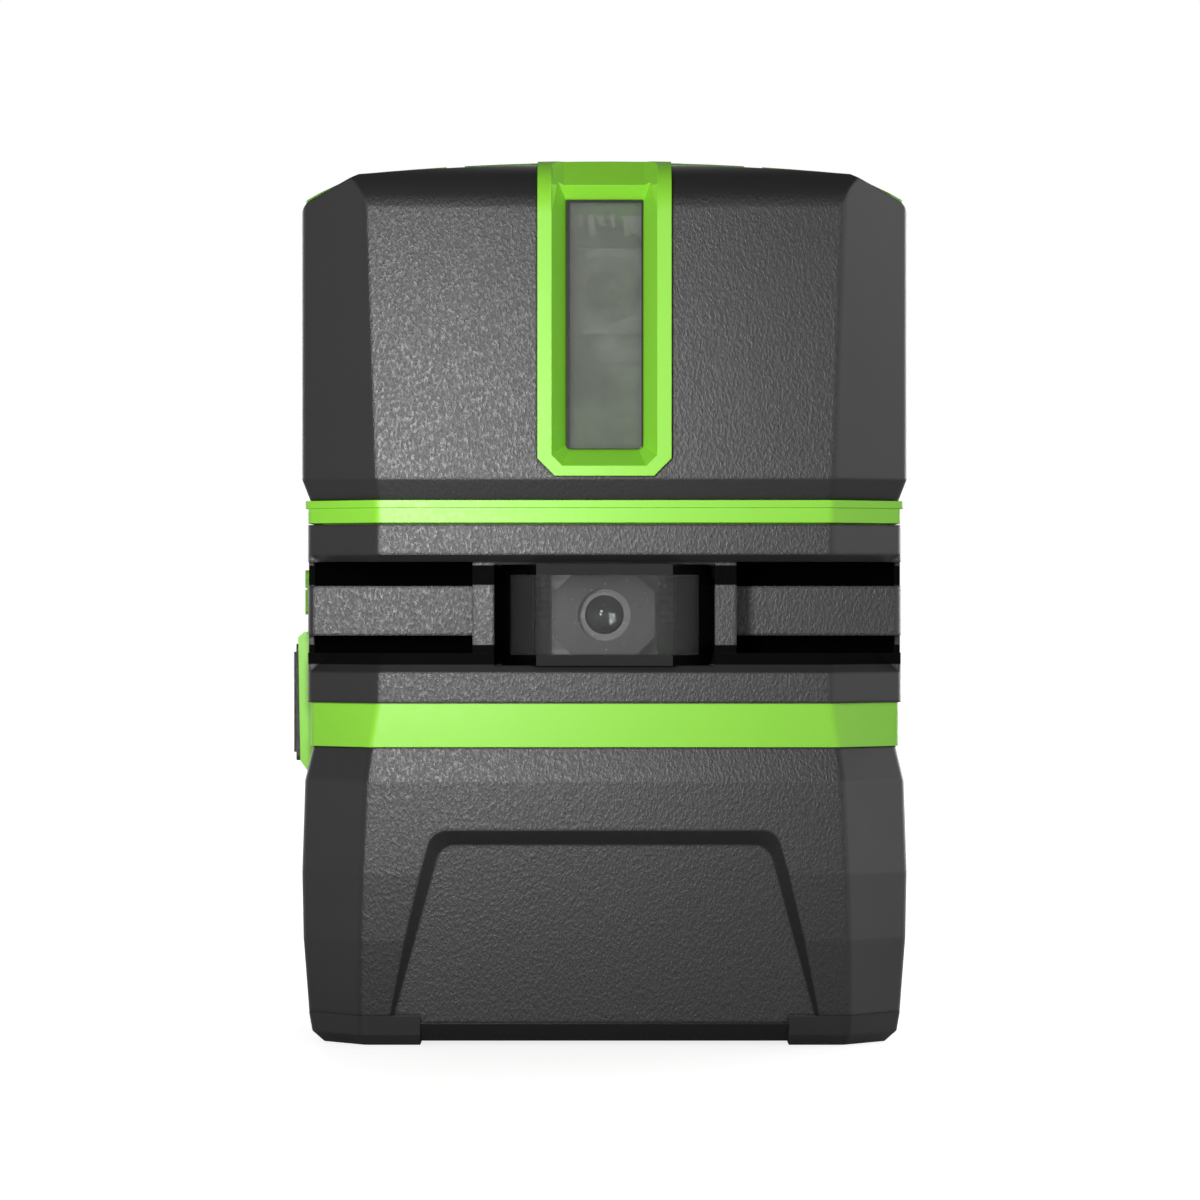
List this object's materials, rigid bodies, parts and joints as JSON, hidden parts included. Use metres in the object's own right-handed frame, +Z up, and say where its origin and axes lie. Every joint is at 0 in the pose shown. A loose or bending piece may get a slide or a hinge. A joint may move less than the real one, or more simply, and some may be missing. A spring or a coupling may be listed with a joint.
{
  "type": "cross-line laser level",
  "caption": "Self-levelling cross-line laser level: boxy grained housing with a tall front window, a bay window, a side lock slider and a gimballed pendulum inside.",
  "frame": {"origin": "on the tripod thread's axis, at the plane the feet stand on", "axes": "+Z up, -Y towards the front with the windows, -X towards the lock slider"},
  "size_m": [0.0749, 0.0646, 0.1069],
  "materials": {
    "green_shell": "satin moulded ABS, lime green",
    "green_rubber": "soft moulded rubber, lime green",
    "black_grained": "black soft-touch cover with a fine leather-like grain",
    "black_smooth": "plain black moulded plastic",
    "black_rubber": "matt black rubber",
    "clear_window": "polished clear window",
    "brass": "turned",
    "steel": "fine turned or rolled",
    "cast_alloy": "die cast, matt",
    "copper": "turned copper",
    "board_green": "solder mask",
    "chip_black": "moulded",
    "battery_wrap": "shrink wrap"
  },
  "bodies": {
    "housing": {"front_housing": "green_shell", "rear_housing": "green_shell", "upper_cover": "black_grained", "middle_cover": "black_grained", "lower_cover": "black_grained", "top_panel": "green_shell", "key_bezel": "black_smooth", "status_light": "clear_window", "base_plate": "black_smooth", "feet": "black_rubber", "tripod_insert": "brass", "base_screws": "steel", "housing_screws": "steel", "window_frame": "green_shell", "tall_window": "clear_window", "tall_gasket": "black_rubber", "bay_window": "clear_window", "pendulum_frame": "cast_alloy", "pitch_bearings": "steel", "magnet_yoke": "steel", "damping_magnets": "steel", "slider_guide": "green_shell", "lock_switch": "black_smooth", "charging_socket": "steel", "charging_board": "board_green", "door_pin": "steel", "battery_pack": "battery_wrap", "battery_contacts": "steel", "battery_cradle": "black_smooth", "main_board": "board_green", "board_parts": "chip_black", "key_board": "board_green", "key_switches": "chip_black"},
    "gimbal": {"gimbal_ring": "cast_alloy", "pitch_pins": "steel", "roll_pins": "steel"},
    "pendulum": {"pendulum": "cast_alloy", "roll_bearings": "steel", "upper_laser": "brass", "upper_line_lens": "clear_window", "lower_laser": "brass", "lower_line_lens": "clear_window", "lens_holder": "black_smooth", "balance_weight": "brass", "balance_screws": "steel", "damping_foot": "copper"},
    "lock": {"lock_slider": "black_smooth", "lock_arm": "black_smooth"},
    "plunger": {"lock_plunger": "black_smooth", "cam_pin": "steel", "lock_pad": "black_rubber"},
    "power_key": {"power_button": "black_rubber"},
    "line_key": {"line_button": "black_rubber"},
    "port_flap": {"port_flap": "green_rubber"},
    "battery_door": {"battery_door": "black_grained"}
  },
  "joints": [
    {"name": "gimbal_pitch", "type": "hinge", "parent": "housing", "child": "gimbal", "pos_m": [0, 0.002, 0.086], "axis": [1, 0, 0], "range_deg": [-4, 4]},
    {"name": "pendulum_roll", "type": "hinge", "parent": "gimbal", "child": "pendulum", "pos_m": [0, 0.002, 0.086], "axis": [0, 1, 0], "range_deg": [-4, 4]},
    {"name": "lock_slide", "type": "slide", "parent": "housing", "child": "lock", "axis": [0, 1, 0], "range_m": [0, 0.005]},
    {"name": "plunger_lift", "type": "slide", "parent": "housing", "child": "plunger", "axis": [0, 0, 1], "range_m": [0, 0.00175]},
    {"name": "power_press", "type": "slide", "parent": "housing", "child": "power_key", "axis": [0, 0, -1], "range_m": [0, 0.0004], "stiffness_N_per_m": 900, "springref_m": -0.0006},
    {"name": "line_press", "type": "slide", "parent": "housing", "child": "line_key", "axis": [0, 0, -1], "range_m": [0, 0.0004], "stiffness_N_per_m": 900, "springref_m": -0.0006},
    {"name": "flap_hinge", "type": "hinge", "parent": "housing", "child": "port_flap", "pos_m": [-0.0366, 0.00545, 0.05455], "axis": [0, 0, -1], "range_deg": [0, 100]},
    {"name": "door_hinge", "type": "hinge", "parent": "housing", "child": "battery_door", "pos_m": [0, 0.0306, 0.0084], "axis": [-1, 0, 0], "range_deg": [0, 90]}
  ],
  "couplings": [
    {"joint": "plunger_lift", "follows": "lock_slide", "ratio": 0.35}
  ]
}
